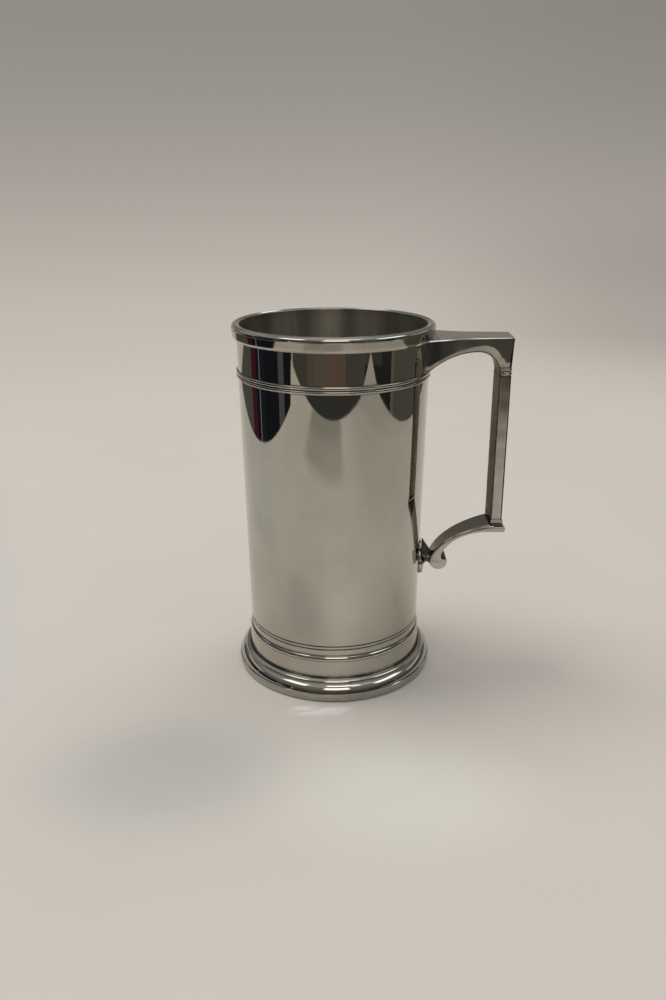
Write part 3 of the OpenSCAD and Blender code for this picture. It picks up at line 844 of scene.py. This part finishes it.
def table_material():
    """Pale table top. Seen in the metal it ends where a table would; seen directly it fades into the surround."""
    mat = bpy.data.materials.new("pale_table")
    mat.use_nodes = True
    g = Graph(mat.node_tree)
    where = g.node("ShaderNodeTexCoord", out=3)
    xyz = g.node("ShaderNodeSeparateXYZ", out=None, Vector=where)
    x, y = xyz.outputs[0], xyz.outputs[1]
    far = g.node("ShaderNodeVectorMath", out=1, props={"operation": "LENGTH"}, Vector=where)

    tone = g.mix(g.step(g.noise(where, 9.0, 3.0, 0.5), 0.35, 0.65), (0.800, 0.762, 0.712), (0.775, 0.748, 0.697))
    tone = g.mix(g.mul(g.step(g.noise(where, 45.0, 4.0, 0.6), 0.55, 0.8), 0.05), tone, (0.66, 0.62, 0.56))
    # a painted shadow near the front edge
    front_shadow = g.mul(g.mul(g.step(x, -0.205, -0.165), g.step(x, 0.035, 0.075, 1.0, 0.0)), g.step(y, -0.30, -0.25, 1.0, 0.0))
    tone = g.mix(g.mul(front_shadow, g.step(y, -0.39, -0.33, 0.84, 0.54)), tone, (0.36, 0.36, 0.32))
    # painted shade: a little darker well to the right and the left
    out_right, out_left = g.math("MULTIPLY_ADD", y, -0.382, x), g.math("MULTIPLY_ADD", y, -0.382, g.mul(x, -1.0))
    tone = g.mix(g.add(g.mul(g.step(out_right, 0.15, 0.205, 0.0, 0.09), g.step(x, 0.10, 0.19)), g.step(out_right, 0.36, 0.42, 0.0, 0.10)), tone, (0.0, 0.0, 0.0))
    tone = g.mix(g.mul(g.step(out_left, 0.13, 0.17), g.step(y, -0.07, -0.01)), tone, (0.90, 0.945, 0.99), "MULTIPLY")

    def blot(cx, cy, rx, ry):
        dx, dy = (g.mul(g.add(v, -c), 1.0 / r) for v, c, r in ((x, cx, rx), (y, cy, ry)))
        return g.step(g.math("SQRT", g.add(g.mul(dx, dx), g.mul(dy, dy))), 0.2, 1.0, 1.0, 0.0)

    # a painted shadow and a painted pool of light in front of the mug
    tone = g.mix(blot(-0.061, -0.085, 0.060, 0.042), tone, (0.86, 0.89, 0.915), "MULTIPLY")
    tone = g.mix(g.mul(blot(0.022, -0.097, 0.064, 0.042), 0.50), tone, (0.93, 0.925, 0.865))
    # light that the foot throws on the table
    cast_light = g.mul(g.mul(g.step(x, -0.021, -0.012), g.step(x, 0.002, 0.010, 1.0, 0.0)), g.mul(g.step(y, -0.0525, -0.0475), g.step(y, -0.0455, -0.0430, 1.0, 0.0)))
    cast_light = g.mul(cast_light, g.step(g.noise(g.stretch(where, (90, 330, 1)), 1.0, 3.0, 0.6), 0.30, 0.54))
    tone = g.mix(g.mul(cast_light, 0.95), tone, (1.0, 0.985, 0.96))
    top = g.node("ShaderNodeBsdfPrincipled", out=None)
    g.put(top.inputs["Base Color"], tone)
    top.inputs["Roughness"].default_value = 0.42
    top.inputs["Specular IOR Level"].default_value = 0.25

    # far away the table runs into the surround, dimmer towards the right
    reach = g.add(far, 0.342)
    rise = g.math("DIVIDE", 0.197, reach)
    dim = g.mul(g.step(g.math("DIVIDE", x, reach), 0.02, 0.36), g.mul(g.step(rise, 0.14, 0.27, 1.0, 0.0), g.step(rise, 0.0, 0.10, 0.45, 1.0)))
    tint = g.ramp(g.mul(rise, 4.0), [(0.0, (0.390, 0.358, 0.324)), (0.082, (0.412, 0.378, 0.338)), (0.29, (0.468, 0.430, 0.386)),
                                     (0.51, (0.535, 0.489, 0.436)), (0.80, (0.576, 0.530, 0.474)), (0.97, (0.592, 0.546, 0.490))])
    haze = g.node("ShaderNodeEmission", Color=g.mix(g.mul(dim, 0.27), tint, (0.0, 0.0, 0.0)))
    pale = g.node("ShaderNodeMixShader", out=None)
    g.put(pale.inputs[0], g.step(far, 0.40, 0.95))
    g.put(pale.inputs[1], top.outputs[0])
    g.put(pale.inputs[2], haze)

    # extent that the metal reflects
    front_left = g.math("MAXIMUM", g.math("MULTIPLY_ADD", y, -1.0, -0.295), 0.0)
    front_right = g.math("MAXIMUM", g.math("MULTIPLY_ADD", y, -1.0, -0.31), 0.0)
    lean = g.mul(g.math("MINIMUM", y, 0.0), -0.045)
    west = g.math("MAXIMUM", g.math("MULTIPLY_ADD", x, -1.0, -0.22), 0.0)
    east = g.math("MAXIMUM", g.add(x, -0.24), 0.0)
    inside = g.mul(g.step(g.add(front_left, x), -0.3535, -0.3505), g.step(g.math("MULTIPLY_ADD", front_right, -0.33, g.add(x, lean)), 0.408, 0.412, 1.0, 0.0))
    inside = g.mul(inside, g.step(g.math("MULTIPLY_ADD", g.add(g.mul(west, 0.06), east), 0.40, y), -0.4160, -0.4120))
    inside = g.math("MAXIMUM", inside, g.step(y, 0.44, 0.48))
    gone = g.mul(g.node("ShaderNodeLightPath", out=3), g.math("SUBTRACT", 1.0, inside))
    clear = g.node("ShaderNodeBsdfTransparent")
    both = g.node("ShaderNodeMixShader", out=None)
    g.put(both.inputs[0], gone)
    g.put(both.inputs[1], pale.outputs[0])
    g.put(both.inputs[2], clear)
    out = g.node("ShaderNodeOutputMaterial", out=None)
    g.put(out.inputs["Surface"], both.outputs[0])
    return mat


ring_count, rings = 96, [0, 120, 300, 600, 1200, 2500, 6000, 20000]
tv, tf = [(0, 0, 0)], []
for r in rings[1:]:
    tv += [(r * math.cos(2 * math.pi * k / ring_count), r * math.sin(2 * math.pi * k / ring_count), 0) for k in range(ring_count)]
for k in range(ring_count):
    tf.append((0, 1 + k, 1 + (k + 1) % ring_count))
    for i in range(len(rings) - 2):
        a, b = 1 + i * ring_count, 1 + (i + 1) * ring_count
        n = (k + 1) % ring_count
        tf.append((a + k, b + k, b + n, a + n))
stage_mesh("table", tv, tf, table_material())


def flag_material(name, colour, strength=1.0):
    mat = bpy.data.materials.new(name)
    mat.use_nodes = True
    g = Graph(mat.node_tree)
    e = g.node("ShaderNodeEmission", Color=colour, Strength=strength)
    out = g.node("ShaderNodeOutputMaterial", out=None)
    g.put(out.inputs["Surface"], e)
    return mat


def flag(name, az0, az1, z0, z1, colour, strength=1.0, radius=1500.0):
    """Upright curved panel round the set, seen only in reflections. Azimuth 0 is the camera's side, + is right."""
    n = max(2, int(abs(az1 - az0) / 3))
    verts = []
    for k in range(n + 1):
        a = math.radians(az0 + (az1 - az0) * k / n)
        for z in (z0, z1):
            verts.append((radius * math.sin(a), -radius * math.cos(a), z))
    faces = [(2 * k, 2 * k + 2, 2 * k + 3, 2 * k + 1) for k in range(n)]
    return stage_mesh(name, verts, faces, flag_material(name, colour, strength), camera=False, diffuse=False, shadow=False)


# dark flags round the set, with a few narrow gaps
flag("flag_left_grey", -141, -112, -1500, 260, (0.092, 0.088, 0.078))
flag("flag_left_red", -112, -103, -1500, 260, (0.062, 0.014, 0.021))
flag("flag_left_black", -103, -48.8, -1500, 300, (0.011, 0.012, 0.016))
flag("flag_left_pole", -97.4, -95.8, -1500, 300, (0.19, 0.195, 0.21), radius=1450)
flag("flag_left_navy", -95.8, -88, -1500, 300, (0.014, 0.017, 0.028), radius=1450)
flag("flag_left_post", -67, -59.5, -1500, 300, (0.095, 0.092, 0.096), radius=1450)
flag("gap_left", -48.8, -47.2, -1500, 300, (0.40, 0.395, 0.365))
flag("flag_front_olive", -47.2, -30, -1500, 300, (0.070, 0.064, 0.050))
flag("flag_front_low", -31, 38, -1500, -265, (0.044, 0.043, 0.041))
flag("flag_front_brown", -30, -22, -265, 300, (0.115, 0.085, 0.070))
flag("flag_front_grey", -22, -9, -265, 300, (0.120, 0.100, 0.082))
flag("flag_front_rust", -9, 14, -265, 300, (0.138, 0.094, 0.075))
flag("flag_front_green", 14, 38, -265, 300, (0.072, 0.072, 0.062))
flag("gap_right", 38, 44, -1500, 300, (0.058, 0.058, 0.052))
flag("flag_right_low", 36, 70, -1500, -205, (0.020, 0.021, 0.022), radius=1480)
flag("flag_right_dark", 44, 57, -1500, 300, (0.048, 0.050, 0.048))
flag("flag_right_black", 57, 70, -1500, 300, (0.026, 0.026, 0.025))
flag("flag_right_pole", 70, 74, -1500, 300, (0.13, 0.128, 0.105))
flag("flag_right_olive", 74, 141, -1500, 260, (0.090, 0.086, 0.070))


def lamp_panel(name, az0, az1, el0, el1, colour, strength, soft=(5.0, 2.0), radius=1400.0):
    """Ceiling lamp with soft borders that shows only as a glint."""
    n, m, verts, glow = 30, 10, [], []
    az0, az1, el0, el1 = az0 - soft[0] / 2, az1 + soft[0] / 2, el0 - soft[1] / 2, el1 + soft[1] / 2
    for k in range(n + 1):
        a = az0 + (az1 - az0) * k / n
        for j in range(m + 1):
            e = el0 + (el1 - el0) * j / m
            ca, sa, ce, se = (f(math.radians(v)) for v in (a, e) for f in (math.cos, math.sin))
            verts.append((radius * ce * sa, -radius * ce * ca, radius * se))
            glow.append(smooth(min(a - az0, az1 - a) / soft[0]) * smooth(min(e - el0, el1 - e) / soft[1]))
    w = m + 1
    faces = [(k * w + j, (k + 1) * w + j, (k + 1) * w + j + 1, k * w + j + 1) for k in range(n) for j in range(m)]
    mat = bpy.data.materials.new(name)
    mat.use_nodes = True
    g = Graph(mat.node_tree)
    both = g.node("ShaderNodeMixShader", out=None)
    g.put(both.inputs[0], g.node("ShaderNodeAttribute", out=2, props={"attribute_name": "glow"}))
    g.put(both.inputs[1], g.node("ShaderNodeBsdfTransparent"))
    g.put(both.inputs[2], g.node("ShaderNodeEmission", Color=colour, Strength=strength))
    out = g.node("ShaderNodeOutputMaterial", out=None)
    g.put(out.inputs["Surface"], both.outputs[0])
    ob = stage_mesh(name, verts, faces, mat, camera=False, diffuse=False, shadow=False)
    ob.data.attributes.new("glow", "FLOAT", "POINT").data.foreach_set("value", np.array(glow, np.float32))
    return ob


lamp_panel("lamp_front_low", -12, 18, 26, 41, (1.0, 0.97, 0.91), 2.2)
lamp_panel("lamp_front_high", -12, 26, 53, 61, (1.0, 0.97, 0.91), 2.8)
lamp_panel("lamp_left", -72, -38, 40, 54, (1.0, 0.97, 0.91), 2.4, soft=(5.0, 3.0))
lamp_panel("lamp_right", 54, 94, 33, 46, (0.92, 0.97, 1.0), 2.2, soft=(9.0, 3.0))
lamp_panel("lamp_back_left", 174.3, 178.0, 33.5, 38.5, (1.0, 0.98, 0.95), 2.2, soft=(1.2, 2.0))
lamp_panel("lamp_back_middle", 178.0, 185.0, 39.0, 45.5, (1.0, 0.98, 0.95), 0.7, soft=(1.5, 2.5), radius=1420)
lamp_panel("lamp_back_right", 180.6, 184.8, 38.8, 43.2, (1.0, 0.98, 0.95), 1.6, soft=(1.2, 2.0))
# dim strips between and beside the lamps
lamp_panel("strip_left", -150, -66, 33, 52, (0.93, 0.97, 1.0), 0.40, soft=(12.0, 5.0), radius=1420)
lamp_panel("strip_left_low", -130, -94, 17, 25, (0.96, 0.98, 1.0), 0.60, soft=(10.0, 3.0), radius=1430)
lamp_panel("strip_right_low", 96, 130, 17, 25, (0.97, 0.98, 1.0), 0.60, soft=(10.0, 3.0), radius=1430)
lamp_panel("strip_middle", -40, -12, 42, 52, (1.0, 0.97, 0.93), 0.50, soft=(6.0, 3.0), radius=1420)
lamp_panel("strip_right", 22, 56, 45, 56, (1.0, 0.98, 0.95), 0.65, soft=(6.0, 3.0), radius=1420)
lamp_panel("lamp_corner", 24, 38, 46, 59, (1.0, 0.98, 0.95), 1.7, soft=(4.0, 3.0), radius=1410)


def area_light(name, direction, distance, size, power, colour):
    li = bpy.data.lights.new(name, "AREA")
    li.shape, li.size, li.energy, li.color = "DISK", size, power, colour
    ob = bpy.data.objects.new(name, li)
    d = Vector(direction).normalized()
    ob.location = d * distance + Vector((0, 0, 0.05))
    ob.rotation_mode = "QUATERNION"
    ob.rotation_quaternion = d.to_track_quat("Z", "Y")
    scene.collection.objects.link(ob)
    ob.visible_glossy = False
    return ob


area_light("soft_left", (-0.95 * 0.42, 0.31 * 0.42, 0.907), 1.7, 0.95, 10.2, (1.0, 0.975, 0.94))
area_light("soft_right", (0.68 * 0.56, 0.73 * 0.56, 0.829), 1.7, 1.0, 4.8, (1.0, 0.975, 0.94))


def world_light():
    world = bpy.data.worlds.new("surround")
    scene.world = world
    world.use_nodes = True
    g = Graph(world.node_tree)
    way = g.node("ShaderNodeTexCoord", out=0)
    xyz = g.node("ShaderNodeSeparateXYZ", out=None, Vector=way)
    height = g.math("MULTIPLY_ADD", xyz.outputs[2], 0.5, 0.5)
    seen = g.mix(g.mul(g.step(xyz.outputs[0], 0.02, 0.36), 0.12), g.ramp(height, HORIZON), (0.0, 0.0, 0.0))
    path = g.node("ShaderNodeLightPath", out=None)
    # what the metal sees: pale behind the mug, dark in front, a dim ceiling above
    back = g.step(xyz.outputs[1], 0.45, 0.78)
    ceiling = g.ramp(height, [(0.50, (0.050, 0.050, 0.044)), (0.60, (0.070, 0.067, 0.061)), (0.65, (0.135, 0.135, 0.135)), (0.72, (0.18, 0.18, 0.184)), (0.88, (0.245, 0.245, 0.252)), (0.95, (0.43, 0.428, 0.432)), (1.0, (0.57, 0.562, 0.556))])
    behind = g.ramp(height, [(0.42, (0.50, 0.462, 0.415)), (0.50, (0.40, 0.366, 0.326)), (0.58, (0.28, 0.258, 0.238)),
                             (0.64, (0.20, 0.19, 0.18)), (0.72, (0.20, 0.195, 0.19)), (0.93, (0.27, 0.27, 0.27)), (1.0, (0.50, 0.495, 0.49))])
    mirror = g.mix(back, ceiling, behind)
    col = g.mix(path.outputs["Is Camera Ray"], g.mix(path.outputs["Is Glossy Ray"], (0.392, 0.376, 0.358), mirror), seen)
    bg = g.node("ShaderNodeBackground", Color=col)
    out = g.node("ShaderNodeOutputWorld", out=None)
    g.put(out.inputs["Surface"], bg)


world_light()


# ------------------------------------------------------------------------ camera

PITCH, ROLL, YAW = 0.351929, -0.0030751, -0.0010338
cam_data = bpy.data.cameras.new("camera")
cam_data.sensor_width = 36.0
cam_data.lens = 31.378
cam_data.clip_start, cam_data.clip_end = 0.01, 60.0
cam = bpy.data.objects.new("camera", cam_data)
scene.collection.objects.link(cam)
fwd = Vector((math.sin(YAW) * math.cos(PITCH), math.cos(YAW) * math.cos(PITCH), -math.sin(PITCH)))
right = fwd.cross(Vector((0, 0, 1))).normalized()
up = right.cross(fwd)
r2 = math.cos(ROLL) * right + math.sin(ROLL) * up
u2 = -math.sin(ROLL) * right + math.cos(ROLL) * up
cam.matrix_world = Matrix((
    (r2.x, u2.x, -fwd.x, 0.0), (r2.y, u2.y, -fwd.y, -0.34218), (r2.z, u2.z, -fwd.z, 0.19712), (0, 0, 0, 1)))
scene.camera = cam
scene.view_settings.view_transform = "Standard"
